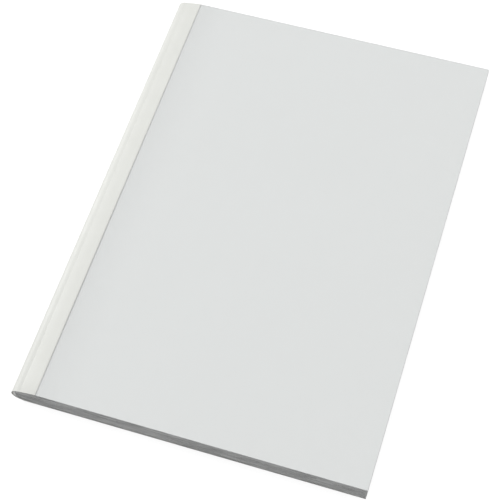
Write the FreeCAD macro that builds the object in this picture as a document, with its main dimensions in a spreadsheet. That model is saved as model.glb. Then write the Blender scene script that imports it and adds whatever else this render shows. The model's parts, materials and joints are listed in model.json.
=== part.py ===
import FreeCAD, Part
import math
import os
import Sketcher

# A thermally bound A4 document. A creased card wrap makes the rounded spine, the back cover and a narrow
# flap on the front. A clear front sheet is glued under the flap. Hot-melt adhesive inside the spine holds
# the back edges of eighty leaves, which spread a little from there to the fore-edge.
#
# +X runs from the spine to the fore-edge, +Y to the head of the pages, +Z up through the front sheet.
# The origin is the middle of the underside. In the names below, a "reach" is a distance along X from the
# outermost line of the spine, and a "height" is a distance along Z from the underside.

SIZES = {
    # the leaves: each stands a hair clear of the next in the spine, and a little more where they lie free,
    # and the covers are cut flush with them
    "leaf_width": 210.0,
    "leaf_length": 297.0,
    "leaf_thickness": 0.1,
    "leaf_groups": 20,
    "leaves_per_group": 4,
    "bound_gap": 0.007,
    "free_gap": 0.0665,
    # the card wrap: runs are distances along X from the middle of the nose to the front and back scores,
    # from the front score to the free edge of the flap, and from there to where the face lies flat
    "card_thickness": 0.3,
    "nose_lift": 0.99,
    "front_shoulder_run": 0.5,
    "back_shoulder_run": 1.5,
    "flap_run": 9.86,
    "flat_run": 1.1,
    # the clear front sheet and the glue under the flap
    "film_thickness": 0.2,
    "film_overlap": 6.6,
    "film_bend_radius": 6.0,
    "glue_thickness": 0.05,
    "glue_inset": 1.0,
    # the hot-melt adhesive behind the back edges of the leaves
    "adhesive_depth": 2.3,
    # how far the leaves turn when the front cover is folded right back
    "top_leaves_turn": 150.0,
    "bottom_leaves_turn": 7.5,
    # clearances: leaf block to wrap at the adhesive, leaf block to covers, a leaf to its own root, and
    # from where the leaves have spread to the first crease
    "spine_clearance": 0.05,
    "cover_clearance": 0.05,
    "crease_clearance": 0.05,
    "spread_setback": 0.5,
}

# Places worked out from the sizes. The nose of the spine just holds the back edges of the leaves. The
# outer faces of the nose and of the bend in the film are two round edges, and the flap is the flat strip
# that lies tangent to both.
LAYOUT = {
    "leaf_count": "=Sizes.leaf_groups * Sizes.leaves_per_group",
    "bound_pitch": "=Sizes.leaf_thickness + Sizes.bound_gap",
    "free_pitch": "=Sizes.leaf_thickness + Sizes.free_gap",
    "back_edge_reach": "=Sizes.card_thickness + Sizes.adhesive_depth",
    "width": "=back_edge_reach + Sizes.leaf_width",
    "half_width": "=width / 2",
    "bound_half": "=leaf_count * bound_pitch / 2",
    "half_chord": "=bound_half + Sizes.spine_clearance",
    "inner_radius": "=(half_chord ^ 2 + Sizes.adhesive_depth ^ 2) / (2 * Sizes.adhesive_depth)",
    "spine_radius": "=inner_radius + Sizes.card_thickness",
    "spine_height": "=spine_radius + Sizes.nose_lift",
    "front_score_reach": "=spine_radius + Sizes.front_shoulder_run",
    "back_score_reach": "=spine_radius + Sizes.back_shoulder_run",
    "flap_edge_reach": "=front_score_reach + Sizes.flap_run",
    "flat_reach": "=flap_edge_reach + Sizes.flat_run",
    "spread_reach": "=flat_reach - Sizes.spread_setback",
    "bound_foot": "=spine_height - bound_half",
    "stack_foot": "=Sizes.card_thickness + Sizes.cover_clearance",
    "stack_top": "=stack_foot + (leaf_count - 1) * free_pitch + Sizes.leaf_thickness",
    "face_height": "=stack_top + Sizes.cover_clearance + Sizes.film_thickness",
    "bend_centre_height": "=face_height - Sizes.film_bend_radius",
    "flap_over_film": "=Sizes.card_thickness + Sizes.glue_thickness",
    "bend_run": "=flat_reach - spine_radius",
    "bend_rise": "=bend_centre_height - spine_height",
    "radius_step": "=spine_radius - Sizes.film_bend_radius - flap_over_film",
    "front_slope": "=acos(radius_step / hypot(bend_run; bend_rise)) - atan2(bend_run; bend_rise)",
    "front_score_height": "=spine_height"
    " + (spine_radius + Sizes.front_shoulder_run * sin(front_slope)) / cos(front_slope)",
    "flap_width": "=Sizes.flap_run / cos(front_slope)",
    "hidden_reach": "=flap_edge_reach - Sizes.film_overlap",
    "glue_start": "=(Sizes.flap_run - Sizes.film_overlap) / cos(front_slope) + Sizes.glue_inset",
    "glue_width": "=Sizes.film_overlap / cos(front_slope) - 2 * Sizes.glue_inset",
    "group_pitch": "=Sizes.leaves_per_group * free_pitch",
    "turn_step": "=(Sizes.top_leaves_turn - Sizes.bottom_leaves_turn) / (Sizes.leaf_groups - 1)",
}

doc = FreeCAD.newDocument("BoundDocument")


def fill_sheet(name, cells):
    """Make a sheet with one named cell for each entry."""
    sheet = doc.addObject("Spreadsheet::Sheet", name)
    for row, (alias, content) in enumerate(cells.items(), start=1):
        sheet.set(f"A{row}", alias)
        sheet.set(f"B{row}", str(content))
        sheet.setAlias(f"B{row}", alias)
    doc.recompute()
    return sheet


def crease_cells():
    """How far each group of leaves turns, and where it folds.

    A group can only turn far if the crease of the group below lies further from the spine, by the room
    that the thickness of the group takes up at its widest turn.
    """
    cells = {}
    for group in range(1, SIZES["leaf_groups"] + 1):
        cells[f"turn_{group:02d}"] = f"=Sizes.top_leaves_turn - {group - 1} * turn_step"
        if group == 1:
            cells["crease_01"] = "=flat_reach"
        else:
            above = f"{group - 1:02d}"
            cells[f"crease_{group:02d}"] = f"=crease_{above} + group_pitch * tan(turn_{above} / 2)"
    return cells


sizes = fill_sheet("Sizes", SIZES)
layout = fill_sheet("Layout", {**LAYOUT, **crease_cells()})


def value(expression):
    """The plain number that an expression over the sheets gives, with angles in degrees."""
    found = layout.evalExpression(expression)
    return float(getattr(found, "Value", found))


def put(piece, reach, height, across="0"):
    """Bind a piece's place to the sheets."""
    piece.setExpression("Placement.Base.x", f"{reach} - Layout.half_width")
    piece.setExpression("Placement.Base.y", across)
    piece.setExpression("Placement.Base.z", height)


def tilt_with_flap(piece):
    """Turn a piece up to the slope of the flap, about its own corner."""
    piece.Placement.Rotation = FreeCAD.Rotation(FreeCAD.Vector(0, -1, 0), value("Layout.front_slope"))
    piece.setExpression("Placement.Rotation.Angle", "Layout.front_slope")


def plate(name, length, width, height):
    """A flat plate whose three sizes are expressions."""
    box = doc.addObject("Part::Box", name)
    box.Label = name
    box.setExpression("Length", length)
    box.setExpression("Width", width)
    box.setExpression("Height", height)
    return box


# Sketches of the section across the spine, seen from the tail. Their own x is the reach and y the height.

START, END, CENTRE = 1, 2, 3
ORIGIN, ROOT_POINT, X_AXIS = -1, 1, -1


class Section:
    """A closed section in a body, extruded alike to both sides of the middle of the document."""

    def __init__(self, name):
        self.body = doc.addObject("PartDesign::Body", name)
        self.body.Label = name
        self.sketch = self.body.newObject("Sketcher::SketchObject", f"{name}_section")
        side = next(f for f in self.body.Origin.OriginFeatures if f.Role == "XZ_Plane")
        self.sketch.AttachmentSupport = (side, [""])
        self.sketch.MapMode = "FlatFace"

    def line(self, start, end):
        ends = [FreeCAD.Vector(x, y, 0) for x, y in (start, end)]
        return self.sketch.addGeometry(Part.LineSegment(*ends))

    def arc(self, centre, radius, start_degrees, end_degrees):
        circle = Part.Circle(FreeCAD.Vector(*centre, 0), FreeCAD.Vector(0, 0, 1), radius)
        turn = [math.radians(degrees) for degrees in (start_degrees, end_degrees)]
        return self.sketch.addGeometry(Part.ArcOfCircle(circle, *turn))

    def hold(self, kind, *where):
        return self.sketch.addConstraint(Sketcher.Constraint(kind, *where))

    def bind(self, kind, *where, to):
        """A dimension that follows an expression."""
        number = value(to)
        if kind == "Angle":
            number = math.radians(number)
        index = self.sketch.addConstraint(Sketcher.Constraint(kind, *where, number))
        self.sketch.setExpression(f"Constraints[{index}]", to)

    def extrude(self, length):
        pad = self.body.newObject("PartDesign::Pad", f"{self.body.Name}_pad")
        pad.Profile = self.sketch
        pad.SideType = "Symmetric"
        pad.setExpression("Length", length)
        self.body.Tip = pad
        put(self.body, "0", "0")
        return self.body


def polar(centre, radius, degrees):
    """A point on a circle."""
    turn = math.radians(degrees)
    return centre[0] + radius * math.cos(turn), centre[1] + radius * math.sin(turn)


def spine_wrap():
    """The part of the card between the two score lines: a short front shoulder, the round nose and a
    short back shoulder that comes down to the underside."""
    outer, inner = value("Layout.spine_radius"), value("Layout.inner_radius")
    centre = outer, value("Layout.spine_height")
    slope = value("Layout.front_slope")
    front = value("Layout.front_score_reach"), value("Layout.front_score_height")
    back = value("Layout.back_score_reach"), 0
    top_turn = 90 + slope
    card = value("Sizes.card_thickness")
    front_inside = polar(front, card, slope - 90)
    back_run, back_drop = back[0] - centre[0], centre[1]
    reach_angle = math.degrees(math.acos(outer / math.hypot(back_run, back_drop)))
    bottom_turn = 360 - math.degrees(math.atan2(back_drop, back_run)) - reach_angle
    back_inside = back[0], card / -math.sin(math.radians(bottom_turn))

    section = Section("spine_wrap")
    front_outer = section.line(polar(centre, outer, top_turn), front)
    nose_outer = section.arc(centre, outer, top_turn, bottom_turn)
    back_outer = section.line(polar(centre, outer, bottom_turn), back)
    back_end = section.line(back, back_inside)
    back_inner = section.line(back_inside, polar(centre, inner, bottom_turn))
    nose_inner = section.arc(centre, inner, top_turn, bottom_turn)
    front_inner = section.line(polar(centre, inner, top_turn), front_inside)
    front_end = section.line(front_inside, front)

    section.hold("Tangent", front_outer, START, nose_outer, START)
    section.hold("Tangent", nose_outer, END, back_outer, START)
    section.hold("Coincident", back_outer, END, back_end, START)
    section.hold("Coincident", back_end, END, back_inner, START)
    section.hold("Tangent", back_inner, END, nose_inner, END)
    section.hold("Tangent", nose_inner, START, front_inner, START)
    section.hold("Coincident", front_inner, END, front_end, START)
    section.hold("Coincident", front_end, END, front_outer, END)
    section.hold("Coincident", nose_outer, CENTRE, nose_inner, CENTRE)
    section.hold("Parallel", front_outer, front_inner)
    section.hold("Parallel", back_outer, back_inner)
    section.hold("Perpendicular", front_outer, front_end)
    section.hold("Vertical", back_end)
    section.hold("PointOnObject", back_outer, END, X_AXIS)
    section.bind("DistanceX", ORIGIN, ROOT_POINT, nose_outer, CENTRE, to="Layout.spine_radius")
    section.bind("DistanceY", ORIGIN, ROOT_POINT, nose_outer, CENTRE, to="Layout.spine_height")
    section.bind("Radius", nose_outer, to="Layout.spine_radius")
    section.bind("Radius", nose_inner, to="Layout.inner_radius")
    section.bind("DistanceX", ORIGIN, ROOT_POINT, back_outer, END, to="Layout.back_score_reach")
    section.bind("DistanceX", ORIGIN, ROOT_POINT, front_outer, END, to="Layout.front_score_reach")
    section.bind("Angle", front_outer, to="Layout.front_slope")
    return section.extrude("Sizes.leaf_length")


def front_film():
    """The clear front sheet: flat under the flap, a small bend, then flat to the fore-edge."""
    slope = value("Layout.front_slope")
    film = value("Sizes.film_thickness")
    bend = value("Sizes.film_bend_radius")
    centre = value("Layout.flat_reach"), value("Layout.bend_centre_height")
    width, face = value("Layout.width"), value("Layout.face_height")
    bend_start = polar(centre, bend, 90 + slope)
    hidden_reach = value("Layout.hidden_reach")
    hidden_run = (bend_start[0] - hidden_reach) / math.cos(math.radians(slope))
    hidden_top = polar(bend_start, hidden_run, 180 + slope)

    section = Section("front_film")
    hidden_outer = section.line(hidden_top, bend_start)
    bend_outer = section.arc(centre, bend, 90, 90 + slope)
    face_outer = section.line(polar(centre, bend, 90), (width, face))
    fore_edge = section.line((width, face), (width, face - film))
    face_inner = section.line((width, face - film), polar(centre, bend - film, 90))
    bend_inner = section.arc(centre, bend - film, 90, 90 + slope)
    hidden_inner = section.line(polar(centre, bend - film, 90 + slope), polar(hidden_top, film, slope - 90))
    hidden_end = section.line(polar(hidden_top, film, slope - 90), hidden_top)

    section.hold("Tangent", hidden_outer, END, bend_outer, END)
    section.hold("Tangent", bend_outer, START, face_outer, START)
    section.hold("Coincident", face_outer, END, fore_edge, START)
    section.hold("Coincident", fore_edge, END, face_inner, START)
    section.hold("Tangent", face_inner, END, bend_inner, START)
    section.hold("Tangent", bend_inner, END, hidden_inner, START)
    section.hold("Coincident", hidden_inner, END, hidden_end, START)
    section.hold("Coincident", hidden_end, END, hidden_outer, START)
    section.hold("Coincident", bend_outer, CENTRE, bend_inner, CENTRE)
    section.hold("Horizontal", face_outer)
    section.hold("Vertical", fore_edge)
    section.hold("Horizontal", face_inner)
    section.hold("Parallel", hidden_outer, hidden_inner)
    section.hold("Perpendicular", hidden_outer, hidden_end)
    section.bind("Radius", bend_outer, to="Sizes.film_bend_radius")
    section.bind("Radius", bend_inner, to="Sizes.film_bend_radius - Sizes.film_thickness")
    section.bind("DistanceX", ORIGIN, ROOT_POINT, bend_outer, CENTRE, to="Layout.flat_reach")
    section.bind("DistanceY", ORIGIN, ROOT_POINT, bend_outer, CENTRE, to="Layout.bend_centre_height")
    section.bind("DistanceX", ORIGIN, ROOT_POINT, face_outer, END, to="Layout.width")
    section.bind("Angle", hidden_outer, to="Layout.front_slope")
    section.bind("DistanceX", ORIGIN, ROOT_POINT, hidden_outer, START, to="Layout.hidden_reach")
    return section.extrude("Sizes.leaf_length")


def back_cover():
    """The flat of the card from the back score to the fore-edge, which the document lies on."""
    run = "Layout.width - Layout.back_score_reach"
    card = plate("back_cover", run, "Sizes.leaf_length", "Sizes.card_thickness")
    put(card, "Layout.back_score_reach", "0", across="-Sizes.leaf_length / 2")
    return card


def under_flap_face(run, depth):
    """The reach and height of a point under the flap: run along its slope, depth under its outer face."""
    along, up = "cos(Layout.front_slope)", "sin(Layout.front_slope)"
    reach = f"Layout.front_score_reach + {run} * {along} + {depth} * {up}"
    height = f"Layout.front_score_height + {run} * {up} - {depth} * {along}"
    return reach, height


def front_flap():
    """The strip of card from the front score over the edge of the film."""
    flap = plate("front_flap", "Layout.flap_width", "Sizes.leaf_length", "Sizes.card_thickness")
    tilt_with_flap(flap)
    put(flap, *under_flap_face("0", "Sizes.card_thickness"), across="-Sizes.leaf_length / 2")
    return flap


def film_glue_line():
    """The band of glue between the flap and the film."""
    glue = plate("film_glue_line", "Layout.glue_width", "Sizes.leaf_length", "Sizes.glue_thickness")
    tilt_with_flap(glue)
    corner = under_flap_face("Layout.glue_start", "Layout.flap_over_film")
    put(glue, *corner, across="-Sizes.leaf_length / 2")
    return glue


def spine_adhesive():
    """The hot-melt strip: it fills the nose of the spine as far as the back edges of the leaves."""
    bore = doc.addObject("Part::Cylinder", "nose_bore")
    bore.Placement.Rotation = FreeCAD.Rotation(FreeCAD.Vector(1, 0, 0), -90)
    bore.setExpression("Radius", "Layout.inner_radius")
    bore.setExpression("Height", "Sizes.leaf_length")
    put(bore, "Layout.spine_radius", "Layout.spine_height", across="-Sizes.leaf_length / 2")
    room = plate("room_behind_leaves", "Layout.back_edge_reach", "Sizes.leaf_length", "Layout.face_height")
    put(room, "0", "0", across="-Sizes.leaf_length / 2")
    strip = doc.addObject("Part::Common", "spine_adhesive")
    strip.Base = bore
    strip.Tool = room
    return strip


def leaf_heights(group, leaf):
    """The heights of a leaf's lower face at the adhesive and where it lies free, leaf 0 the lowest of its
    group and group 1 the topmost."""
    under = f"(Layout.leaf_count - {group} * Sizes.leaves_per_group + {leaf})"
    at_spine = f"Layout.bound_foot + {under} * Layout.bound_pitch"
    where_free = f"Layout.stack_foot + {under} * Layout.free_pitch"
    return at_spine, where_free


def bound_edge(group, leaf):
    """The root of a leaf: a wedge from the adhesive to where the leaves have spread, whose own y runs
    along the reach, and a flat strip from there to the crease."""
    at_spine, where_free = leaf_heights(group, leaf)
    number = f"{group:02d}_{leaf + 1}"
    slant = doc.addObject("Part::Wedge", f"slant_{number}")
    slant.Placement.Rotation = FreeCAD.Rotation(FreeCAD.Vector(0, 0, 1), -90)
    for low, high in (("Xmin", "Xmax"), ("X2min", "X2max")):
        slant.setExpression(low, "-Sizes.leaf_length / 2")
        slant.setExpression(high, "Sizes.leaf_length / 2")
    slant.setExpression("Ymin", "Layout.back_edge_reach")
    slant.setExpression("Ymax", "Layout.spread_reach")
    slant.setExpression("Zmin", at_spine)
    slant.setExpression("Zmax", f"{at_spine} + Sizes.leaf_thickness")
    slant.setExpression("Z2min", where_free)
    slant.setExpression("Z2max", f"{where_free} + Sizes.leaf_thickness")
    put(slant, "0", "0")
    flat_run = f"Layout.crease_{group:02d} - Sizes.crease_clearance - Layout.spread_reach"
    flat = plate(f"flat_{number}", flat_run, "Sizes.leaf_length", "Sizes.leaf_thickness")
    put(flat, "Layout.spread_reach", where_free, across="-Sizes.leaf_length / 2")
    root = doc.addObject("Part::Fuse", f"bound_edge_{number}")
    root.Base = slant
    root.Tool = flat
    return root


def free_leaf(group, leaf):
    """The part of a leaf that turns, from its crease to the fore-edge."""
    at_spine, where_free = leaf_heights(group, leaf)
    crease = f"Layout.crease_{group:02d}"
    slant_run = f"hypot(Layout.spread_reach - Layout.back_edge_reach; {where_free} - ({at_spine}))"
    root_run = f"({slant_run} + {crease} - Layout.spread_reach)"
    width = f"Sizes.leaf_width - {root_run}"
    sheet = plate(f"leaf_{group:02d}_{leaf + 1}", width, "Sizes.leaf_length", "Sizes.leaf_thickness")
    put(sheet, crease, where_free, across="-Sizes.leaf_length / 2")
    return sheet


def group_of(name, make, group):
    """Four leaves or their roots, as separate solids in one named group."""
    bundle = doc.addObject("Part::Compound", name)
    bundle.Links = [make(group, leaf) for leaf in range(SIZES["leaves_per_group"])]
    return bundle


pieces = [
    spine_wrap(),
    back_cover(),
    front_flap(),
    film_glue_line(),
    front_film(),
    spine_adhesive(),
]
for number in range(1, SIZES["leaf_groups"] + 1):
    pieces.append(group_of(f"bound_edges_{number:02d}", bound_edge, number))
    pieces.append(group_of(f"leaves_{number:02d}", free_leaf, number))

doc.recompute()

for item in doc.Objects:
    if {"Invalid", "Error"} & set(item.State):
        raise RuntimeError(f"{item.Label} failed: {item.State}")
for piece in pieces:
    if piece.Shape.isNull() or not piece.Shape.isValid():
        raise RuntimeError(f"{piece.Label} has no valid shape")

os.makedirs("parts", exist_ok=True)
for piece in pieces:
    piece.Shape.exportStep(os.path.join("parts", f"{piece.Label}.step"))

box = Part.makeCompound([piece.Shape for piece in pieces]).BoundBox
print(f"{len(pieces)} nodes, X {box.XMin:.2f} to {box.XMax:.2f}, Y {box.YMin:.2f} to {box.YMax:.2f}, "
      f"Z {box.ZMin:.2f} to {box.ZMax:.2f}")
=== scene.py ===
import json
import math
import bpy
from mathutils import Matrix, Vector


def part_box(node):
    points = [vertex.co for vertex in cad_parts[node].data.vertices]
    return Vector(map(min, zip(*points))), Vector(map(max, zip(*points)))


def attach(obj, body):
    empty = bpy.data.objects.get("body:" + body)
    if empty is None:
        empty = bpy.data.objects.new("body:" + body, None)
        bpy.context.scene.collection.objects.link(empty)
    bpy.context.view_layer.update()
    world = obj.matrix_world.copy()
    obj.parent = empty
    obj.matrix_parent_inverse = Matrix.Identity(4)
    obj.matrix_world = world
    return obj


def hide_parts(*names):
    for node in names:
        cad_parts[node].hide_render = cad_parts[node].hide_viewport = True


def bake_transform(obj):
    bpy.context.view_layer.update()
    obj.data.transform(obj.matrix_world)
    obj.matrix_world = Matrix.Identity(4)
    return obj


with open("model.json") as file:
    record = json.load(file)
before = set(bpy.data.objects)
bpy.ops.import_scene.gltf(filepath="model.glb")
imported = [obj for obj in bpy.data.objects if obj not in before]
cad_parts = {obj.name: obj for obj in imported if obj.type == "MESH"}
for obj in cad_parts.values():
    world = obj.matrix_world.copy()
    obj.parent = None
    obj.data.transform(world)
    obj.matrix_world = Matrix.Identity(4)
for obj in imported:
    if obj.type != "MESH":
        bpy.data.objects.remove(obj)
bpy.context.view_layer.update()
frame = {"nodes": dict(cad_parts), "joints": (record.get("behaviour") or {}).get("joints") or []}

from types import SimpleNamespace

import bmesh
import bpy
from bpy.props import FloatProperty, FloatVectorProperty, IntProperty, PointerProperty
from mathutils import Quaternion, Vector

bl_info = {
    "name": "Bound Document",
    "version": (1, 0, 0),
    "blender": (4, 5, 0),
    "location": "View3D > Sidebar > Bound Document",
    "description": "Dresses a thermally bound document in card, clear film, hot melt and paper",
    "category": "Object",
}

# The document lies on its back cover. +X runs from the spine to the fore-edge, +Y from the tail to the
# head of the pages, +Z up. Lengths are in metres. A point of the section across the spine is (x, z).

MM = 0.001
JOINTS = {joint["name"]: joint for joint in frame["joints"]}


def polar(centre, radius, turn):
    """The point of a circle at that turn from +X towards +Z."""
    return centre + radius * Vector((math.cos(turn), math.sin(turn)))


def score_of(joint):
    """The point of the section that a cover folds about."""
    x, _, z = JOINTS[joint]["pos_m"]
    return Vector((x, z))


def measure_spine():
    """The section across the spine: a round nose, and the two scores that the card's flats run from."""
    back_low, back_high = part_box("back_cover")
    melt_low, melt_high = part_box("spine_adhesive")
    card = back_high.z - back_low.z
    half_chord = (melt_high.z - melt_low.z) / 2
    depth = melt_high.x - melt_low.x
    inner = (half_chord**2 + depth**2) / (2 * depth)
    outer = inner + card
    centre = Vector((melt_low.x + inner, (melt_low.z + melt_high.z) / 2))
    front, back = score_of("front_cover_fold"), score_of("back_cover_fold")
    to_front, to_back = front - centre, back - centre
    front_turn = math.atan2(to_front.y, to_front.x) + math.acos(outer / to_front.length)
    back_turn = math.tau + math.atan2(to_back.y, to_back.x) - math.acos(outer / to_back.length)
    return SimpleNamespace(
        card=card, centre=centre, inner=inner, outer=outer, front=front, back=back,
        front_turn=front_turn, back_turn=back_turn, front_slope=front_turn - math.pi / 2,
        chord_x=melt_high.x, half_length=back_high.y)


SPINE = measure_spine()
GROUPS = sorted(name[-2:] for name in frame["nodes"] if name.startswith("leaves_"))
FIRST_CREASE = score_of(f"leaves_{GROUPS[0]}_turn")


def length_value(label, about, millimetres):
    """A length that a user can change, in the scene's own unit."""
    return FloatProperty(name=label, description=about, default=millimetres * MM, min=0, precision=5,
                         subtype="DISTANCE", unit="LENGTH")


def share_value(label, about, default, most=1.0):
    """A share, from 0 to the most that it may be."""
    return FloatProperty(name=label, description=about, default=default, min=0, max=most)


def degrees_value(label, about, default):
    """An angle in degrees."""
    return FloatProperty(name=label, description=f"{about}, in degrees", default=default)


def watts_value(label, about, default):
    """The power of a lamp."""
    return FloatProperty(name=label, description=about, default=default, min=0)


def colour_value(label, about, default):
    """A colour that a user can change."""
    return FloatVectorProperty(name=label, description=about, default=default, size=3, min=0, max=1,
                               subtype="COLOR")


class CardSettings(bpy.types.PropertyGroup):
    """The creased card wrap."""

    colour: colour_value("Colour", "White coated face of the card", (0.768, 0.775, 0.738))
    # the darker colour serves the random mottle and the greying towards the flap's free edge
    mottle_colour: colour_value("Mottle", "Darker patches, and handled card", (0.731, 0.738, 0.701))
    # the cut-end colour is raw board, much darkened with painted shade at the cut ends
    cut_colour: colour_value("Cut end", "Raw middle of the card, cut at head and tail", (0.23, 0.225, 0.22))
    free_edge_colour: colour_value("Free edge", "Pressed edge of the flap", (0.80, 0.80, 0.78))
    # painted shade: the free edge is darker around its lifted part, deepening the shadow line beside the flap
    edge_shade_colour: colour_value("Thumbed edge", "Free edge where it is handled most", (0.60, 0.60, 0.58))
    # the lifted part of the free edge, where the card face also greys
    lift_and_grey_centre: length_value("Thumbed centre", "From the tail to the middle of the handled part", 70.0)
    tail_reach: length_value("Tail reach", "From there to the tail end of the handled part", 75.0)
    head_lift_and_grey_reach: length_value("Head reach", "From there to the head end of the handled part", 150.0)
    edge_lift: length_value("Edge lift", "How far the handled part of the free edge has come up", 0.09)
    roughness: share_value("Roughness", "Roughness of the coated face", 0.42)
    score_half_width: length_value("Score half width", "From the bottom of a score to its rim", 0.6)
    score_depth: length_value("Score depth", "How far a score is pressed in", 0.04)
    cut_rounding: length_value("Cut rounding", "Width of the rounding along cut edges", 0.06)
    fold_run: length_value("Fold run", "Length of card that bends when a cover opens", 1.3)
    flap_crown: length_value("Flap crown", "How far the flap is raised over the edge of the film", 0.1)
    edge_drop: length_value("Edge drop", "How far the free edge is pressed down on the film", 0.05)
    edge_press: length_value("Edge press", "How much thinner the flap is at its free edge", 0.25)
    press_run: length_value("Press run", "Width of the thinner edge", 0.9)


class FilmSettings(bpy.types.PropertyGroup):
    """The clear front sheet."""

    colour: colour_value("Colour", "Tint of the clear sheet", (0.72, 0.79, 0.80))
    cut_colour: colour_value("Cut edge", "Tint of the sheet seen edge on", (0.25, 0.28, 0.295))
    haze: share_value("Haze", "Share of light that each face of the sheet stops", 0.04)
    cut_haze: share_value("Cut haze", "Share of light that a cut edge stops", 0.7)
    roughness: share_value("Roughness", "Roughness of the sheet", 0.16)
    thickness: length_value("Thickness", "Thickness of the sheet", 0.2)
    bend_radius: length_value("Bend radius", "Outer radius of the bend beside the flap", 6.0)
    cut_rounding: length_value("Cut rounding", "Width of the rounding along cut edges", 0.03)


class LeafSettings(bpy.types.PropertyGroup):
    """The block of leaves."""

    leaves: IntProperty(name="Leaves", description="Leaves in each group", default=4, min=1)
    thickness: length_value("Thickness", "Thickness of a leaf", 0.1)
    bound_inset: length_value("Bound inset", "From the adhesive's corners to the outermost leaves", 0.05)
    page_colour: colour_value("Page", "Face of a leaf", (0.810, 0.819, 0.811))
    # the cut-edge colour is paper greyed with painted shade of the narrow gaps between the leaves
    cut_colour: colour_value("Cut edge", "Guillotined edge of a leaf", (0.67, 0.67, 0.675))
    streak_length: length_value("Streak length", "Length of the light and dark streaks along the cut", 16.0)
    streak_height: length_value("Streak height", "Height of the streaks", 1.9)
    roughness: share_value("Roughness", "Roughness of the paper", 0.85)
    # the page's darkening towards the gutter is painted shade
    gutter_shade_reach: length_value("Gutter reach", "From the first crease to the full white of the page", 24.0)
    rise: length_value("Rise", "How far the top leaf is pressed up to the clear sheet", 0.03)
    spread_setback: length_value("Spread setback", "From the spread leaves to the first crease", 0.55)
    spread_rounding: share_value("Spread rounding", "Softness of the bend there", 0.06)
    lean: length_value("Lean", "How far the foot of the fore-edge lies back from its top", 0.95)
    jog: length_value("Jog", "How far a leaf may lie back from the block's cut edges", 0.09)
    clumping: length_value("Clumping", "How far leaves lie up or down from even gaps", 0.09)
    clump_length: length_value("Clump length", "Length along the edge over which the gaps change", 70.0)
    stations: IntProperty(name="Stations", description="Points across a leaf", default=40, min=8)
    spread_stations: IntProperty(name="Spread stations", default=11, min=2,
                                 description="Points from the spine to where the leaves have spread")
    fold_run: length_value("Fold run", "Length of leaf that bends when it turns", 11.0)


class MeltSettings(bpy.types.PropertyGroup):
    """The hot-melt adhesive and the glue under the flap."""

    colour: colour_value("Hot melt", "Milky adhesive in the spine", (0.88, 0.88, 0.86))
    glue_colour: colour_value("Glue line", "Clear glue under the flap", (0.82, 0.82, 0.78))
    glue_haze: share_value("Glue haze", "Share of light that each face of the glue stops", 0.35)
    roughness: share_value("Roughness", "Roughness of the set adhesive", 0.33)
    end_recess: length_value("End recess", "How far the adhesive's ends lie in from the card's", 0.06)
    end_dome: length_value("End dome", "How far the ends bulge", 0.4)
    stand_off: length_value("Stand-off", "Hair line between the adhesive and the card", 0.01)
    end_gap: length_value("End gap", "How far the ends have shrunk from the card's upper side", 0.6)
    gap_run: length_value("Gap run", "Length of the ends over which the gap closes", 7.0)


class StageSettings(bpy.types.PropertyGroup):
    """The floor, the lamps and the camera."""

    floor_size: length_value("Floor size", "Side of the floor", 8000.0)
    floor_drop: length_value("Floor drop", "From the underside of the document to the floor", 0.02)
    floor_colour: colour_value("Floor", "Pale floor", (0.34, 0.34, 0.34))
    floor_white: share_value("Floor white", "White that is seen over the floor's own light", 0.82)
    room_light: share_value("Room light", "Strength of the soft light from all around", 0.57, 4.0)
    lamp_size: length_value("Lamp size", "Side of each soft box", 3000.0)
    lamp_distance: length_value("Lamp distance", "From the document to each soft box", 4000.0)
    side_azimuth: degrees_value("Side azimuth", "Side soft box, round from the tail", -105.0)
    side_elevation: degrees_value("Side elevation", "Side soft box, above the floor", 25.0)
    side_watts: watts_value("Side power", "Power of the side soft box", 79.0)
    fore_azimuth: degrees_value("Fore azimuth", "Fore-edge soft box, round from the tail", 105.0)
    fore_elevation: degrees_value("Fore elevation", "Fore-edge soft box, above the floor", 25.0)
    fore_watts: watts_value("Fore power", "Power of the soft box at the fore-edge", 35.0)
    high_azimuth: degrees_value("High azimuth", "High soft box, round from the tail", 180.0)
    high_elevation: degrees_value("High elevation", "High soft box, above the floor", 75.0)
    high_watts: watts_value("High power", "Power of the high soft box", 22.5)
    camera_place: FloatVectorProperty(name="Camera", description="Place of the camera", subtype="XYZ",
                                      unit="LENGTH", default=(0.1475, -0.4059, 0.7344))
    camera_azimuth: degrees_value("Camera azimuth", "Camera, round from the tail", 21.24)
    camera_elevation: degrees_value("Camera elevation", "Camera, above the floor", 60.29)
    camera_roll: degrees_value("Camera roll", "How far the camera leans to its left", -4.14)
    camera_nearest: length_value("Camera nearest", "Nearest thing that the camera sees", 10.0)
    camera_farthest: length_value("Camera farthest", "Farthest thing that the camera sees", 20000.0)
    lens: FloatProperty(name="Lens", default=99.34, min=1, subtype="DISTANCE_CAMERA",
                        description="Focal length on a sensor 36 mm wide")


class DocumentSettings(bpy.types.PropertyGroup):
    """All settings of the bound document."""

    card: PointerProperty(type=CardSettings)
    film: PointerProperty(type=FilmSettings)
    leaf: PointerProperty(type=LeafSettings)
    melt: PointerProperty(type=MeltSettings)
    stage: PointerProperty(type=StageSettings)


def feed(tree, node, inputs):
    """Feed a node's inputs with values or with other nodes' outputs."""
    for key, source in inputs.items():
        if isinstance(source, bpy.types.NodeSocket):
            tree.links.new(source, node.inputs[key])
        else:
            node.inputs[key].default_value = source


def add_node(tree, kind, inputs=None, **options):
    """Add a node, set its options and feed its inputs."""
    node = tree.nodes.new(kind)
    for option, setting in options.items():
        setattr(node, option, setting)
    feed(tree, node, inputs or {})
    return node


def calculate(tree, operation, *terms, kind="ShaderNodeMath"):
    """The output of a math node over values or outputs."""
    return add_node(tree, kind, dict(enumerate(terms)), operation=operation).outputs[0]


def split(tree, vector):
    """The X, Y and Z of a vector."""
    return add_node(tree, "ShaderNodeSeparateXYZ", {"Vector": vector}).outputs


def empty_tree(owner):
    """The cleared node tree of a material or a world."""
    owner.use_nodes = True
    owner.node_tree.nodes.clear()
    return owner.node_tree


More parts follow.
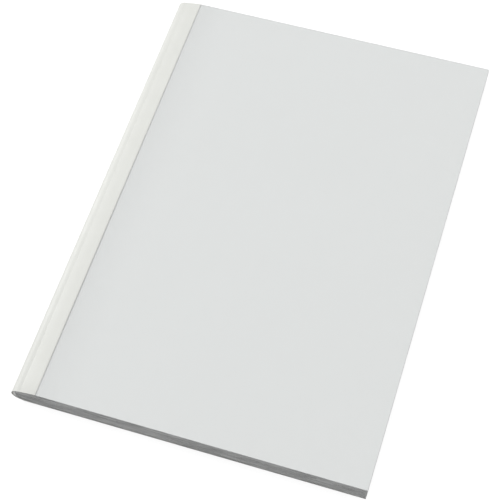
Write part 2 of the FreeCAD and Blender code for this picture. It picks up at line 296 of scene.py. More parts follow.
def empty_material(name):
    """A material, its tree, its only shader, and the place of a point in its own object.

    That is also the point's place in the document, because every object sits at the origin.
    """
    material = bpy.data.materials.new(name)
    tree = empty_tree(material)
    shader = add_node(tree, "ShaderNodeBsdfPrincipled")
    add_node(tree, "ShaderNodeOutputMaterial", {"Surface": shader.outputs["BSDF"]})
    return material, tree, shader, add_node(tree, "ShaderNodeTexCoord").outputs["Object"]


def noise(tree, vector, grain, detail=2.0):
    """Smooth random values whose lumps are about one grain across."""
    inputs = {"Vector": vector, "Scale": 1 / grain, "Detail": detail}
    return add_node(tree, "ShaderNodeTexNoise", inputs).outputs["Fac"]


def spread(tree, noise_value, low, high):
    """The usual range of smooth noise, spread over a wanted range."""
    usual_low, usual_high = 0.3, 0.7
    ends = {"From Min": usual_low, "From Max": usual_high, "To Min": low, "To Max": high}
    return add_node(tree, "ShaderNodeMapRange", {"Value": noise_value, **ends}).outputs["Result"]


def ramp(tree, value, start, end, **options):
    """0 where the value is at the start and 1 at the end."""
    inputs = {"Value": value, "From Min": start, "From Max": end}
    return add_node(tree, "ShaderNodeMapRange", inputs, **options).outputs["Result"]


def two_tone(tree, factor, first, second):
    """The first colour where the factor is 0, and the second where it is 1."""
    inputs = {"Factor": factor, "A": (*first, 1), "B": (*second, 1)}
    return add_node(tree, "ShaderNodeMix", inputs, data_type="RGBA").outputs["Result"]


def shaded(tree, factor, colour, darkest):
    """The colour where the factor is 0, and only the darkest share of it where it is 1."""
    return two_tone(tree, factor, colour, [channel * darkest for channel in colour])


def bump(tree, shader, height, depth, strength=0.6):
    """Raise a finish where the height is 1, by the depth."""
    inputs = {"Height": height, "Distance": depth, "Strength": strength}
    feed(tree, shader, {"Normal": add_node(tree, "ShaderNodeBump", inputs).outputs["Normal"]})


def off_centre_share(tree, along, settings):
    """0 at the middle of the lifted and greyed part of the document's length, rising to 1 away from it."""
    centre = settings.lift_and_grey_centre - SPINE.half_length
    away = calculate(tree, "ABSOLUTE", calculate(tree, "SUBTRACT", along, centre))
    return ramp(tree, away, 0.0, settings.head_lift_and_grey_reach, interpolation_type="SMOOTHSTEP")


def card_face_material(settings):
    """Coated card: faintly mottled, and a little greyer towards the flap's free edge around its lifted part.
    """
    mottle_size, gloss_size = 14 * MM, 5 * MM
    fibre_size, fibre_depth = 0.5 * MM, 0.012 * MM
    mottle_share, edge_grey_share = 0.5, 0.8
    duller, glossier = 0.06, 0.05

    material, tree, shader, place = empty_material("coated_card")
    mottle = spread(tree, noise(tree, place, mottle_size, detail=3), 0, mottle_share)
    sides = split(tree, place)
    near_edge = ramp(tree, sides["X"], SPINE.front.x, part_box("front_flap")[1].x)
    off_centre = off_centre_share(tree, sides["Y"], settings)
    lift_and_grey_weight = calculate(tree, "MULTIPLY", near_edge, calculate(tree, "SUBTRACT", 1.0, off_centre))
    grey = calculate(tree, "MULTIPLY_ADD", lift_and_grey_weight, edge_grey_share, mottle)
    gloss = noise(tree, place, gloss_size)
    feed(tree, shader, {
        "Base Color": two_tone(tree, grey, settings.colour, settings.mottle_colour),
        "Roughness": spread(tree, gloss, settings.roughness - glossier, settings.roughness + duller),
        "Coat Weight": 0.08,
        "Coat Roughness": 0.3,
    })
    bump(tree, shader, noise(tree, place, fibre_size, detail=4), fibre_depth, strength=0.7)
    return material


def cut_card_material(settings):
    """The cut ends of the card: raw middle, fibrous along the cut, and darkened with painted shade."""
    fibre_size, fibre_depth = 0.25 * MM, 0.03 * MM
    darkest = 0.88

    material, tree, shader, place = empty_material("cut_card")
    fibres = spread(tree, noise(tree, place, fibre_size, detail=4), 0, 1)
    tone = shaded(tree, fibres, settings.cut_colour, darkest)
    feed(tree, shader, {"Base Color": tone, "Roughness": 0.9})
    bump(tree, shader, fibres, fibre_depth)
    return material


def free_edge_material(settings):
    """The pressed edge of the flap, with painted shade: darker around the lifted part of the free edge, to
    deepen the shadow line beside it.
    """
    fibre_size, fibre_depth = 0.25 * MM, 0.02 * MM

    material, tree, shader, place = empty_material("pressed_card")
    off_centre = off_centre_share(tree, split(tree, place)["Y"], settings)
    tone = two_tone(tree, off_centre, settings.edge_shade_colour, settings.free_edge_colour)
    feed(tree, shader, {"Base Color": tone, "Roughness": 0.8})
    bump(tree, shader, noise(tree, place, fibre_size, detail=4), fibre_depth)
    return material


def film_material(name, colour, haze, roughness):
    """Clear sheet: it lets most light through and shines, and its surface is very slightly uneven."""
    cloud_size, gloss_size = 60 * MM, 25 * MM
    wave_size, wave_depth = 35 * MM, 0.05 * MM
    duller, glossier = 0.03, 0.02
    darkest = 0.96

    material, tree, shader, place = empty_material(name)
    cloud = spread(tree, noise(tree, place, cloud_size), 0, 1)
    gloss = noise(tree, place, gloss_size)
    feed(tree, shader, {
        "Base Color": shaded(tree, cloud, colour, darkest),
        "Roughness": spread(tree, gloss, roughness - glossier, roughness + duller),
        "Alpha": haze,
        "IOR": 1.5,
    })
    bump(tree, shader, noise(tree, place, wave_size, detail=1), wave_depth, strength=0.5)
    return material


def page_material(settings):
    """The face of a leaf: uncoated paper with fine formation clouds, and painted shade that darkens it
    towards the gutter.
    """
    cloud_size = 2.5 * MM
    fibre_size, fibre_depth = 0.3 * MM, 0.01 * MM
    cloud_share, gutter_shade_share, gutter_shade_power = 0.2, 0.8, 1.6
    darkest = 0.93

    material, tree, shader, place = empty_material("page_paper")
    cloud = spread(tree, noise(tree, place, cloud_size, detail=4), 0, cloud_share)
    # painted shade: the page grows darker towards the first crease, where the binding shades it
    gutter_shade_end = FIRST_CREASE.x + settings.gutter_shade_reach
    gutter_shade = ramp(tree, split(tree, place)["X"], gutter_shade_end, FIRST_CREASE.x)
    gutter_shade = calculate(tree, "POWER", gutter_shade, gutter_shade_power)
    shade = calculate(tree, "MULTIPLY_ADD", gutter_shade, gutter_shade_share, cloud)
    tone = shaded(tree, shade, settings.page_colour, darkest)
    feed(tree, shader, {"Base Color": tone, "Roughness": settings.roughness})
    bump(tree, shader, noise(tree, place, fibre_size, detail=3), fibre_depth)
    return material


def cut_paper_material(settings):
    """The guillotined edges: a random tone and painted shade for each leaf, streaks along it, and the blade's
    marks up the block.
    """
    blade_size, blade_squash = 0.9 * MM, 0.04
    blade_low, blade_high = -0.4, 1.4
    fibre_size, fibre_depth = 0.12 * MM, 0.02 * MM
    streak_share, blade_share, leaf_share = 0.6, 0.17, 0.3
    darkest = 0.42

    material, tree, shader, place = empty_material("cut_paper")
    upright = calculate(tree, "MULTIPLY", place, (1, 1, blade_squash), kind="ShaderNodeVectorMath")
    blade = spread(tree, noise(tree, upright, blade_size, detail=3), blade_low, blade_high)
    squeeze = settings.streak_height / settings.streak_length
    level = calculate(tree, "MULTIPLY", place, (squeeze, squeeze, 1), kind="ShaderNodeVectorMath")
    streak = spread(tree, noise(tree, level, settings.streak_height, detail=1), -1, 2)
    leaf = add_node(tree, "ShaderNodeAttribute", attribute_name="leaf_shade").outputs["Fac"]
    shade = calculate(tree, "MULTIPLY", streak, streak_share)
    shade = calculate(tree, "MULTIPLY_ADD", blade, blade_share, shade)
    shade = calculate(tree, "MULTIPLY_ADD", leaf, leaf_share, shade)
    tone = shaded(tree, shade, settings.cut_colour, darkest)
    feed(tree, shader, {"Base Color": tone, "Roughness": 0.95, "Specular IOR Level": 0.25})
    bump(tree, shader, noise(tree, upright, fibre_size, detail=3), fibre_depth)
    return material


def melt_material(settings):
    """Set hot melt: milky, a little waxy, with faint clouds."""
    cloud_size, scatter_depth = 1.5 * MM, 0.8 * MM
    wave_size, wave_depth = 0.8 * MM, 0.05 * MM
    darkest = 0.93

    material, tree, shader, place = empty_material("set_hot_melt")
    cloud = spread(tree, noise(tree, place, cloud_size, detail=3), 0, 1)
    feed(tree, shader, {
        "Base Color": shaded(tree, cloud, settings.colour, darkest),
        "Roughness": settings.roughness,
        "Subsurface Weight": 0.3,
        "Subsurface Radius": (1, 0.9, 0.8),
        "Subsurface Scale": scatter_depth,
    })
    bump(tree, shader, noise(tree, place, wave_size), wave_depth, strength=0.5)
    return material


def glue_material(settings):
    """The thin clear line of glue under the flap."""
    streak_size = 3 * MM
    darkest = 0.92

    material, tree, shader, place = empty_material("clear_glue_line")
    streak = spread(tree, noise(tree, place, streak_size, detail=3), 0, 1)
    tone = shaded(tree, streak, settings.glue_colour, darkest)
    feed(tree, shader, {"Base Color": tone, "Alpha": settings.glue_haze, "Roughness": 0.25})
    return material


def new_object(name, data):
    """An object in the scene for a mesh, a lamp or a camera."""
    holder = bpy.data.objects.new(name, data)
    bpy.context.scene.collection.objects.link(holder)
    return holder


def new_piece(name, mesh, *materials):
    """An object at the origin for a mesh that is already in place."""
    for material in materials:
        mesh.materials.append(material)
    return new_object(name, mesh)


def settle(piece):
    """Apply a piece's modifiers, so that its mesh is final."""
    graph = bpy.context.evaluated_depsgraph_get()
    final = bpy.data.meshes.new_from_object(piece.evaluated_get(graph))
    rough = piece.data
    piece.modifiers.clear()
    piece.data = final
    bpy.data.meshes.remove(rough)
    final.name = piece.name


def round_cuts(piece, width):
    """Round the sharp edges of a sheet a little, and shade the rest smooth."""
    bevel = piece.modifiers.new("cut_rounding", "BEVEL")
    bevel.width = width
    bevel.segments = 2
    bevel.limit_method = "ANGLE"
    bevel.angle_limit = math.radians(50)
    bevel.material = -1
    settle(piece)
    shade_smooth(piece, 35)


def shade_smooth(piece, sharpest):
    """Shade a piece smooth, apart from edges that turn by more than that many degrees."""
    piece.data.shade_smooth()
    piece.data.set_sharp_from_angle(angle=math.radians(sharpest))


def nothing(*places):
    """No height, wherever it is asked for."""
    return 0


def extruded_sheet(name, outer, inner, materials, stations=None, raised=nothing):
    """A closed sheet that runs from tail to head between two lines of the section, with as many points.

    Its materials are that of its two faces, that of its ends at tail and head, and that of its two edges
    along the page. Each pair of points is raised at each station by what is asked for its number and place.
    """
    stations = stations or (-SPINE.half_length, SPINE.half_length)
    shape = bmesh.new()
    rings = []
    for number, pair in enumerate(zip(outer, inner)):
        rings.append([[shape.verts.new((place.x, y, place.y + raised(number, y))) for y in stations]
                      for place in pair])
    for ring, after in zip(rings, rings[1:]):
        for line, next_line in zip(ring, after):
            add_strip(shape, line, next_line)
        for end in (0, -1):
            add_strip(shape, [line[end] for line in ring], [line[end] for line in after], 1)
    for ring in (rings[0], rings[-1]):
        add_strip(shape, *ring, 2)
    return new_piece(name, closed_mesh(name, shape), *materials)


def closed_mesh(name, shape):
    """The mesh of a closed shape, with its faces turned outwards."""
    bmesh.ops.recalc_face_normals(shape, faces=shape.faces)
    mesh = bpy.data.meshes.new(name)
    shape.to_mesh(mesh)
    shape.free()
    return mesh


def add_strip(shape, line, next_line, material_index=0):
    """Faces between two lines of points."""
    for (a, b), (c, d) in zip(zip(line, line[1:]), zip(next_line, next_line[1:])):
        shape.faces.new((a, b, d, c)).material_index = material_index


def card_sheet(name, outer, inner, stations=None, raised=nothing):
    """An extruded sheet of card with rounded cuts."""
    materials = [bpy.data.materials[finish] for finish in ("coated_card", "cut_card", "pressed_card")]
    piece = extruded_sheet(name, outer, inner, materials, stations, raised)
    round_cuts(piece, bpy.context.scene.bound_document.card.cut_rounding)
    return piece


def front_directions():
    """Along the flap's slope from the front score, and into the card from there."""
    along = polar(Vector((0, 0)), 1, SPINE.front_slope)
    return along, Vector((along.y, -along.x))


def score_dip(run, settings):
    """How far the card is pressed in at that distance from a score."""
    return settings.score_depth * ease(run / settings.score_half_width)


def ease(share):
    """1 at a share of 0, falling smoothly to 0 at a share of 1, and 0 beyond."""
    return (1 + math.cos(math.pi * min(share, 1))) / 2


def runs_from_score(length, settings):
    """Distances from a score, close together over the score and the fold, then a few to the far end."""
    margin = 1.1
    steps = 24
    far_shares = (0.02, 0.05, 0.09, 0.14, 0.2, 0.4, 0.6, 0.8, 1)
    near = min(max(settings.fold_run, settings.score_half_width) * margin, length)
    runs = [near * step / steps for step in range(steps + 1)]
    if length > near:
        runs += [near + (length - near) * share for share in far_shares]
    return runs


def flat_from_score(score, along, inward, runs, settings, lift=nothing, press=nothing):
    """The two lines of a flat of card that starts at a score.

    The score presses both faces inward. A lift raises both, and a press thins the card from outside.
    """
    outer, inner = [], []
    for run in runs:
        place = score + run * along + (score_dip(run, settings) - lift(run)) * inward
        outer.append(place + press(run) * inward)
        inner.append(place + SPINE.card * inward)
    return outer, inner


def crown_height(run, length, top_run, height, drop):
    """How far a crowned flat stands above a straight one, below which it ends by the drop."""
    fall = (height + drop) * (run - top_run) / (length - top_run)
    return min(height * run / top_run, height - fall)


class DocumentOperator(bpy.types.Operator):
    """An operator that reads the document's settings."""

    bl_options = {"REGISTER", "UNDO"}

    @property
    def settings(self):
        return bpy.context.scene.bound_document


class OBJECT_OT_spine_card(DocumentOperator):
    """Make the round back of the card wrap, between the two scores"""

    bl_idname = "object.spine_card"
    bl_label = "Spine Card"

    def execute(self, context):
        card = self.settings.card
        card_face_material(card)
        cut_card_material(card)
        free_edge_material(card)
        along, inward = front_directions()
        front_length = (SPINE.front - polar(SPINE.centre, SPINE.outer, SPINE.front_turn)).length
        front_runs = runs_from_score(front_length, card)
        front_out, front_in = flat_from_score(SPINE.front, -along, inward, front_runs, card)
        foot = polar(SPINE.centre, SPINE.outer, SPINE.back_turn)
        back_along = (foot - SPINE.back).normalized()
        back_inward = polar(Vector((0, 0)), -1, SPINE.back_turn)
        back_runs = runs_from_score((foot - SPINE.back).length, card)
        back_out, back_in = flat_from_score(SPINE.back, back_along, back_inward, back_runs, card)
        back_in[0].x = SPINE.back.x  # the inner faces of the spine and the back cover meet above the score
        turns = 60
        sweep = SPINE.back_turn - SPINE.front_turn
        nose = [SPINE.front_turn + sweep * step / turns for step in range(1, turns)]
        outer = front_out + [polar(SPINE.centre, SPINE.outer, turn) for turn in nose] + back_out[::-1]
        inner = front_in + [polar(SPINE.centre, SPINE.inner, turn) for turn in nose] + back_in[::-1]
        piece = card_sheet("spine_card", outer, inner)
        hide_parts("spine_wrap")
        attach(piece, "spine")
        return {"FINISHED"}


class OBJECT_OT_flap_card(DocumentOperator):
    """Make the strip of card that lies over the edge of the clear sheet"""

    bl_idname = "object.flap_card"
    bl_label = "Front Flap"

    def execute(self, context):
        card = self.settings.card
        along, inward = front_directions()
        far_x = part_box("front_flap")[1].x - SPINE.card * along.y
        length = (far_x - SPINE.front.x) / along.x
        film_run = (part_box("front_film")[0].x - SPINE.front.x) / along.x
        lift_power = 5
        press_shares = (0.8, 0.6, 0.4, 0.2, 0)
        runs = runs_from_score(length - card.press_run, card)
        runs += [length - card.press_run * share for share in press_shares]

        def lift(run):
            return crown_height(run, length, film_run, card.flap_crown, card.edge_drop)

        def press(run):
            return card.edge_press * max(0, 1 - (length - run) / card.press_run)**2

        def raised(number, y):
            beside = y + SPINE.half_length - card.lift_and_grey_centre
            reach = card.head_lift_and_grey_reach if beside > 0 else card.tail_reach
            lift_and_grey_weight = ease(abs(beside) / reach)
            edge_share = max(0, (runs[number] - film_run) / (length - film_run))
            return card.edge_lift * lift_and_grey_weight * edge_share**lift_power

        steps = 40
        stations = [SPINE.half_length * (2 * step / steps - 1) for step in range(steps + 1)]
        lines = flat_from_score(SPINE.front, along, inward, runs, card, lift, press)
        piece = card_sheet("flap_card", *lines, stations, raised)
        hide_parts("front_flap")
        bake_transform(piece)
        return {"FINISHED"}


class OBJECT_OT_back_card(DocumentOperator):
    """Make the back cover, from the back score to the fore-edge"""

    bl_idname = "object.back_card"
    bl_label = "Back Cover"

    def execute(self, context):
        card = self.settings.card
        far_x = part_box("back_cover")[1].x - self.settings.leaf.lean
        runs = runs_from_score(far_x - SPINE.back.x, card)
        lines = flat_from_score(SPINE.back, Vector((1, 0)), Vector((0, 1)), runs, card)
        piece = card_sheet("back_card", *lines)
        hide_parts("back_cover")
        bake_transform(piece)
        return {"FINISHED"}


class OBJECT_OT_clear_sheet(DocumentOperator):
    """Make the clear front sheet, with its small bend beside the flap"""

    bl_idname = "object.clear_sheet"
    bl_label = "Clear Front Sheet"

    def execute(self, context):
        film = self.settings.film
        low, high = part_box("front_film")
        centre = Vector((FIRST_CREASE.x, high.z - film.bend_radius))
        steps = 12
        turns = [math.pi / 2 + SPINE.front_slope * (1 - step / steps) for step in range(steps + 1)]
        bend_out = [polar(centre, film.bend_radius, turn) for turn in turns]
        bend_in = [polar(centre, film.bend_radius - film.thickness, turn) for turn in turns]
        along, inward = front_directions()
        hidden = Vector((low.x, bend_out[0].y - (bend_out[0].x - low.x) * along.y / along.x))
        fore_shares = (0.25, 0.5, 0.75, 1)
        fore = [Vector((centre.x + (high.x - centre.x) * share, high.z)) for share in fore_shares]
        fore_under = [place - Vector((0, film.thickness)) for place in fore]
        outer = [hidden] + bend_out + fore
        inner = [hidden + film.thickness * inward] + bend_in + fore_under
        face = film_material("clear_film_face", film.colour, film.haze, film.roughness)
        cut = film_material("clear_film_cut", film.cut_colour, film.cut_haze, film.roughness)
        piece = extruded_sheet("clear_sheet", outer, inner, (face, cut, cut))
        round_cuts(piece, film.cut_rounding)
        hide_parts("front_film")
        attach(piece, "front_cover")
        return {"FINISHED"}


class OBJECT_OT_glue_line(DocumentOperator):
    """Give the glue line under the flap its clear finish"""

    bl_idname = "object.glue_line"
    bl_label = "Glue Line"

    def execute(self, context):
        glue = frame["nodes"]["film_glue_line"]
        glue.data.materials.clear()
        glue.data.materials.append(glue_material(self.settings.melt))
        return {"FINISHED"}


class OBJECT_OT_hot_melt(DocumentOperator):
    """Make the strip of hot melt that fills the nose behind the leaves"""

    bl_idname = "object.hot_melt"
    bl_label = "Hot Melt"

    def execute(self, context):
        melt = self.settings.melt
        steps = 12
        turns = [math.pi / 2 * step / steps for step in range(steps + 1)]
        end = SPINE.half_length - melt.end_recess
        stations = [(end - melt.end_dome * math.sin(turn), 1 - math.cos(turn)) for turn in turns[1:]]
        stations += [(end - melt.end_dome - melt.gap_run * step / steps, 1) for step in range(1, steps + 1)]
        shape = bmesh.new()
        rings = []
        for y, size in stations + [(-y, size) for y, size in reversed(stations)]:
            places = self.section(melt, (end - abs(y)) / melt.gap_run, size)
            rings.append([shape.verts.new((place.x, y, place.y)) for place in places])
        for ring, after in zip(rings, rings[1:]):
            add_strip(shape, ring + ring[:1], after + after[:1])
        for ring in (rings[0], rings[-1]):
            shape.faces.new(ring)
        mesh = closed_mesh("hot_melt_strip", shape)
        piece = new_piece("hot_melt_strip", mesh, melt_material(melt))
        shade_smooth(piece, 50)
        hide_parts("spine_adhesive")
        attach(piece, "spine")
        return {"FINISHED"}

    @staticmethod
    def section(melt, run_share, size):
        """The strip's section at that share of the gap's run from an end, and at that size in the dome."""
        radius = SPINE.inner - melt.stand_off
        reach = math.acos((SPINE.centre.x - SPINE.chord_x) / radius)
        middle = Vector(((SPINE.chord_x + SPINE.centre.x - radius) / 2, SPINE.centre.y))
        gap = melt.end_gap * max(0, 1 - run_share)**2
        steps = 36
        places = []
        for step in range(steps + 1):
            turn = math.pi - reach + 2 * reach * step / steps
            place = polar(SPINE.centre, radius - gap * ease(step / steps), turn)
            place.x = min(place.x, SPINE.chord_x)
            places.append(middle + (place - middle) * size)
        return places


LEAF_INPUTS = {
    "NodeSocketInt": ("Leaves", "First Leaf", "All Leaves", "Stations", "Seed"),
    "NodeSocketFloat": (
        "Closeness", "Back Edge", "Fore Edge", "Length", "Thickness", "Bound Foot", "Bound Pitch",
        "Free Foot", "Free Pitch", "Spread Run", "Spread Rounding", "Lean", "Jog", "Clumping",
        "Clump Length"),
    "NodeSocketMaterial": ("Page", "Cut"),
}


def leaf_group_tree():
    """Geometry nodes for a group of leaves.

    Each leaf starts as a unit cube, and is then laid out by formula: it leaves the adhesive at the bound
    pitch, rises or falls to the free pitch over the spread run, and lies flat from there to the fore-edge.
    """
    tree = bpy.data.node_groups.new("leaf_group", "GeometryNodeTree")
    for kind, names in LEAF_INPUTS.items():
        for name in names:
            tree.interface.new_socket(name, in_out="INPUT", socket_type=kind)
    tree.interface.new_socket("Leaves", in_out="OUTPUT", socket_type="NodeSocketGeometry")
    given = tree.nodes.new("NodeGroupInput").outputs

    def sums(operation, *terms):
        return calculate(tree, operation, *terms)

    def changed(geometry, kind, inputs=None, **options):
        inputs = {"Geometry": geometry, **(inputs or {})}
        return add_node(tree, kind, inputs, **options).outputs["Geometry"]

    cube = add_node(tree, "GeometryNodeMeshCube", {
        "Size": (1, 1, 1), "Vertices X": given["Stations"], "Vertices Y": 2, "Vertices Z": 2})
    starts = add_node(tree, "GeometryNodeMeshLine", {"Count": given["Leaves"], "Offset": (0, 0, 0)})
    copies = add_node(tree, "GeometryNodeInstanceOnPoints", {
        "Points": starts.outputs["Mesh"], "Instance": cube.outputs["Mesh"]})
    index = add_node(tree, "GeometryNodeInputIndex").outputs["Index"]
    numbered = changed(copies.outputs["Instances"], "GeometryNodeStoreNamedAttribute", {
        "Name": "leaf", "Value": index}, data_type="FLOAT", domain="INSTANCE")
    loose = changed(numbered, "GeometryNodeRealizeInstances")
    named = add_node(tree, "GeometryNodeInputNamedAttribute", {"Name": "leaf"}, data_type="FLOAT")
    leaf = named.outputs["Attribute"]
    number = sums("ADD", leaf, given["First Leaf"])
    unit = split(tree, add_node(tree, "GeometryNodeInputPosition").outputs["Position"])
    chance = add_node(tree, "FunctionNodeRandomValue", {
        "Min": (0, -1, 0), "Max": (1, 1, 1), "ID": number, "Seed": given["Seed"]}, data_type="FLOAT_VECTOR")
    luck = split(tree, chance.outputs["Value"])

    half_cube = 0.5
    share = sums("POWER", sums("ADD", unit["X"], half_cube), given["Closeness"])
    block_share = sums("DIVIDE", number, given["All Leaves"])
    below = sums("SUBTRACT", 1.0, block_share)
    fore_edge = sums("SUBTRACT", given["Fore Edge"], sums("MULTIPLY", given["Jog"], luck["X"]))
    fore_edge = sums("SUBTRACT", fore_edge, sums("MULTIPLY", given["Lean"], below))
    width = sums("SUBTRACT", fore_edge, given["Back Edge"])
    x = sums("MULTIPLY_ADD", share, width, given["Back Edge"])
    jogged_length = sums("MULTIPLY_ADD", given["Jog"], -2.0, given["Length"])
    y = sums("MULTIPLY_ADD", unit["Y"], jogged_length, sums("MULTIPLY", given["Jog"], luck["Y"]))
    run = sums("DIVIDE", sums("SUBTRACT", x, given["Back Edge"]), given["Spread Run"])
    rise = sums("SMOOTH_MIN", run, 1.0, given["Spread Rounding"])
    bound = sums("MULTIPLY_ADD", leaf, given["Bound Pitch"], given["Bound Foot"])
    free = sums("MULTIPLY_ADD", leaf, given["Free Pitch"], given["Free Foot"])
    height = add_node(tree, "ShaderNodeMix", {0: rise, 2: bound, 3: free}, data_type="FLOAT",
                      clamp_factor=False).outputs[0]

    # leaves cling together in clumps inside the block, and not at its two faces
    inside = sums("MULTIPLY", block_share, below)
    clumps_along_page, clumps_per_leaf = 3.0, 0.22
    noise_middle, clump_strength = 0.5, 8.0
    clump_place = add_node(tree, "ShaderNodeCombineXYZ", {
        "X": sums("DIVIDE", x, given["Clump Length"]),
        "Y": sums("MULTIPLY", unit["Y"], clumps_along_page),
        "Z": sums("MULTIPLY", number, clumps_per_leaf)})
    clump = add_node(tree, "ShaderNodeTexNoise", {
        "Vector": clump_place.outputs["Vector"], "Scale": 1.0, "Detail": 1.0}).outputs[0]
    clumping = sums("MULTIPLY", given["Clumping"], clump_strength)
    sway = sums("MULTIPLY", sums("SUBTRACT", clump, noise_middle), clumping)
    sway = sums("MULTIPLY", sums("MULTIPLY", sway, inside), rise)
    z = sums("ADD", height, sway)
    z = sums("ADD", z, sums("MULTIPLY", given["Thickness"], sums("ADD", unit["Z"], half_cube)))
    place = add_node(tree, "ShaderNodeCombineXYZ", {"X": x, "Y": y, "Z": z}).outputs["Vector"]
    laid = changed(loose, "GeometryNodeSetPosition", {"Position": place})

    # painted shade on the cut edges: the leaves are greyer towards the foot, where the contact shadow falls,
    # and the outermost are the greyest, above all the lowest, for the shade at the block's borders
    luck_shade, foot_shade = 0.6, 0.6
    lowest_shade, lowest_power = 1.2, 12.0
    outermost_shade, outermost_fall = 1.6, 20.0
    outermost = sums("SUBTRACT", outermost_shade, sums("MULTIPLY", inside, outermost_fall))
    own_shade = sums("MAXIMUM", sums("MULTIPLY", luck["Z"], luck_shade), outermost)
    shade = sums("MULTIPLY_ADD", below, foot_shade, own_shade)
    shade = sums("MULTIPLY_ADD", sums("POWER", below, lowest_power), lowest_shade, shade)
    shaded_leaves = changed(laid, "GeometryNodeStoreNamedAttribute", {
        "Name": "leaf_shade", "Value": shade}, data_type="FLOAT", domain="POINT")

    steepest_page = 0.5
    facing = split(tree, add_node(tree, "GeometryNodeInputNormal").outputs["Normal"])
    is_cut = add_node(tree, "FunctionNodeCompare", {
        0: sums("ABSOLUTE", facing["Z"]), 1: steepest_page}, data_type="FLOAT", operation="LESS_THAN")
    whole = changed(shaded_leaves, "GeometryNodeRealizeInstances")
    pages = changed(whole, "GeometryNodeSetMaterial", {"Material": given["Page"]})
    edges = changed(pages, "GeometryNodeSetMaterial", {
        "Selection": is_cut.outputs["Result"], "Material": given["Cut"]})
    add_node(tree, "NodeGroupOutput", {"Leaves": edges})
    return tree


class OBJECT_OT_leaf_block(DocumentOperator):
    """Make the leaves, as one mesh for each group that turns together"""

    bl_idname = "object.leaf_block"
    bl_label = "Leaf Block"

    def execute(self, context):
        leaf = self.settings.leaf
        tree = leaf_group_tree()
        sockets = {item.name: item.identifier for item in tree.interface.items_tree if item.in_out == "INPUT"}
        page, cut = page_material(leaf), cut_paper_material(leaf)
        lowest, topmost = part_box(f"leaves_{GROUPS[-1]}")[0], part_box(f"leaves_{GROUPS[0]}")[1]
        all_leaves = leaf.leaves * len(GROUPS)
        free_pitch = (topmost.z + leaf.rise - lowest.z - leaf.thickness) / (all_leaves - 1)
        spread_run = FIRST_CREASE.x - leaf.spread_setback - SPINE.chord_x
        spread_share = spread_run / (topmost.x - SPINE.chord_x)
        bound_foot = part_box("spine_adhesive")[0].z + leaf.bound_inset
        bound_pitch = 2 * (SPINE.centre.y - bound_foot) / all_leaves
        common = {
            "Leaves": leaf.leaves,
            "All Leaves": all_leaves - 1,
            "Stations": leaf.stations,
            "Closeness": math.log(spread_share) / math.log(leaf.spread_stations / (leaf.stations - 1)),
            "Back Edge": SPINE.chord_x,
            "Length": 2 * SPINE.half_length,
            "Thickness": leaf.thickness,
            "Bound Pitch": bound_pitch,
            "Free Pitch": free_pitch,
            "Spread Run": spread_run,
            "Spread Rounding": leaf.spread_rounding,
            "Lean": leaf.lean,
            "Jog": leaf.jog,
            "Clumping": leaf.clumping,
            "Clump Length": leaf.clump_length,
            "Seed": 11,
            "Page": page,
            "Cut": cut,
        }
        for number, group in enumerate(reversed(GROUPS)):
            first = number * leaf.leaves
            own = {
                "First Leaf": first,
                "Fore Edge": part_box(f"leaves_{group}")[1].x,
                "Bound Foot": bound_foot + first * bound_pitch,
                "Free Foot": lowest.z + first * free_pitch,
            }
            piece = new_piece(f"leaf_group_{group}", bpy.data.meshes.new("leaves"))
            grow = piece.modifiers.new("leaves", "NODES")
            grow.node_group = tree
            for name, given in {**common, **own}.items():
                grow[sockets[name]] = given
            settle(piece)
            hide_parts(f"leaves_{group}", f"bound_edges_{group}")
            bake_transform(piece)
        return {"FINISHED"}


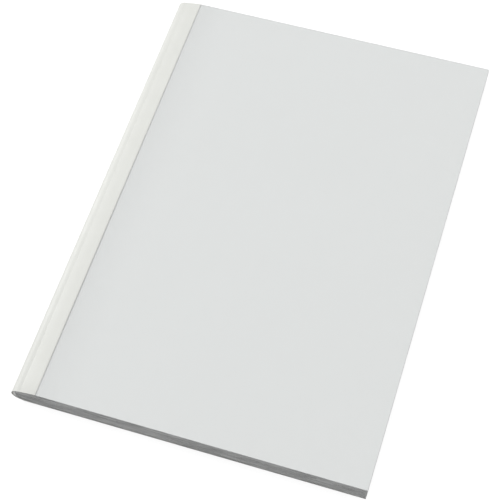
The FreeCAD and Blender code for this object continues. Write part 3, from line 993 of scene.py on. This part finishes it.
class SCENE_OT_document_stage(DocumentOperator):
    """Set the floor, the soft light and the camera"""

    bl_idname = "scene.document_stage"
    bl_label = "Stage"

    def execute(self, context):
        stage = self.settings.stage
        self.make_floor(stage)
        self.make_world(stage)
        for side in ("side", "fore", "high"):
            self.make_lamp(side, stage)
        self.make_camera(stage)
        context.scene.view_settings.view_transform = "Standard"
        return {"FINISHED"}

    @staticmethod
    def make_floor(stage):
        """A pale floor that the camera sees a good deal whiter, and that keeps the document's shadow."""
        side = stage.floor_size / 2
        mesh = bpy.data.meshes.new("floor")
        corners = [(-side, -side), (side, -side), (side, side), (-side, side)]
        mesh.from_pydata([(x, y, -stage.floor_drop) for x, y in corners], [], [(0, 1, 2, 3)])
        material = bpy.data.materials.new("pale_floor")
        tree = empty_tree(material)
        matt = add_node(tree, "ShaderNodeBsdfDiffuse", {"Color": (*stage.floor_colour, 1)})
        seen = background_rays(tree)
        strength = calculate(tree, "MULTIPLY", seen, stage.floor_white)
        white = add_node(tree, "ShaderNodeEmission", {"Strength": strength})
        both = add_node(tree, "ShaderNodeAddShader", {0: matt.outputs["BSDF"], 1: white.outputs["Emission"]})
        add_node(tree, "ShaderNodeOutputMaterial", {"Surface": both.outputs["Shader"]})
        new_piece("floor", mesh, material)

    @staticmethod
    def make_world(stage):
        """An even pale room, white to the camera and in reflections."""
        world = bpy.data.worlds.new("room")
        bpy.context.scene.world = world
        tree = empty_tree(world)
        mix = add_node(tree, "ShaderNodeMix", {
            0: background_rays(tree), 2: stage.room_light, 3: 1.0}, data_type="FLOAT")
        light = {"Color": (1, 1, 1, 1), "Strength": mix.outputs[0]}
        room = add_node(tree, "ShaderNodeBackground", light)
        add_node(tree, "ShaderNodeOutputWorld", {"Surface": room.outputs["Background"]})

    @staticmethod
    def make_lamp(side, stage):
        """A large soft box that faces the document from afar."""
        lamp = bpy.data.lights.new(f"{side}_soft_box", "AREA")
        lamp.shape = "SQUARE"
        lamp.size = stage.lamp_size
        lamp.energy = getattr(stage, f"{side}_watts")
        holder = new_object(lamp.name, lamp)
        towards = from_angles(getattr(stage, f"{side}_azimuth"), getattr(stage, f"{side}_elevation"))
        holder.location = towards * stage.lamp_distance
        holder.rotation_euler = towards.to_track_quat("Z", "Y").to_euler()

    @staticmethod
    def make_camera(stage):
        """The camera, in front of the tail and above the page."""
        camera = bpy.data.cameras.new("camera")
        camera.lens = stage.lens
        camera.clip_start = stage.camera_nearest
        camera.clip_end = stage.camera_farthest
        holder = new_object("camera", camera)
        holder.location = stage.camera_place
        back = from_angles(stage.camera_azimuth, stage.camera_elevation)
        roll = Quaternion((0, 0, 1), math.radians(stage.camera_roll))
        holder.rotation_euler = (back.to_track_quat("Z", "Y") @ roll).to_euler()
        bpy.context.scene.camera = holder


def background_rays(tree):
    """1 for the rays that show the background: to the camera, in gloss and through clear pieces."""
    path = add_node(tree, "ShaderNodeLightPath").outputs
    seen = calculate(tree, "MAXIMUM", path["Is Camera Ray"], path["Is Glossy Ray"])
    return calculate(tree, "MAXIMUM", seen, path["Is Transmission Ray"])


def from_angles(azimuth, elevation):
    """The direction towards a viewer at that azimuth, 0 at the tail and 90 at the fore-edge."""
    turn, lift = math.radians(azimuth), math.radians(elevation)
    return Vector((math.sin(turn) * math.cos(lift), -math.cos(turn) * math.cos(lift), math.sin(lift)))


OPERATORS = (
    OBJECT_OT_spine_card,
    OBJECT_OT_flap_card,
    OBJECT_OT_back_card,
    OBJECT_OT_clear_sheet,
    OBJECT_OT_glue_line,
    OBJECT_OT_hot_melt,
    OBJECT_OT_leaf_block,
    SCENE_OT_document_stage,
)


class VIEW3D_PT_bound_document(bpy.types.Panel):
    """The document's settings and the operators that make its pieces"""

    bl_label = "Bound Document"
    bl_idname = "VIEW3D_PT_bound_document"
    bl_space_type = "VIEW_3D"
    bl_region_type = "UI"
    bl_category = "Bound Document"

    def draw(self, context):
        settings = context.scene.bound_document
        for part in ("card", "film", "leaf", "melt", "stage"):
            box = self.layout.box()
            box.label(text=part.capitalize())
            group = getattr(settings, part)
            for name in group.__annotations__:
                box.prop(group, name)
        for operator in OPERATORS:
            self.layout.operator(operator.bl_idname)


CLASSES = (CardSettings, FilmSettings, LeafSettings, MeltSettings, StageSettings, DocumentSettings,
           *OPERATORS, VIEW3D_PT_bound_document)


def register():
    for item in CLASSES:
        bpy.utils.register_class(item)
    bpy.types.Scene.bound_document = PointerProperty(type=DocumentSettings)


def unregister():
    del bpy.types.Scene.bound_document
    for item in reversed(CLASSES):
        bpy.utils.unregister_class(item)


def main():
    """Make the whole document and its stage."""
    register()
    for operator in OPERATORS:
        group, name = operator.bl_idname.split(".")
        getattr(getattr(bpy.ops, group), name)()


if __name__ == "__main__":
    main()
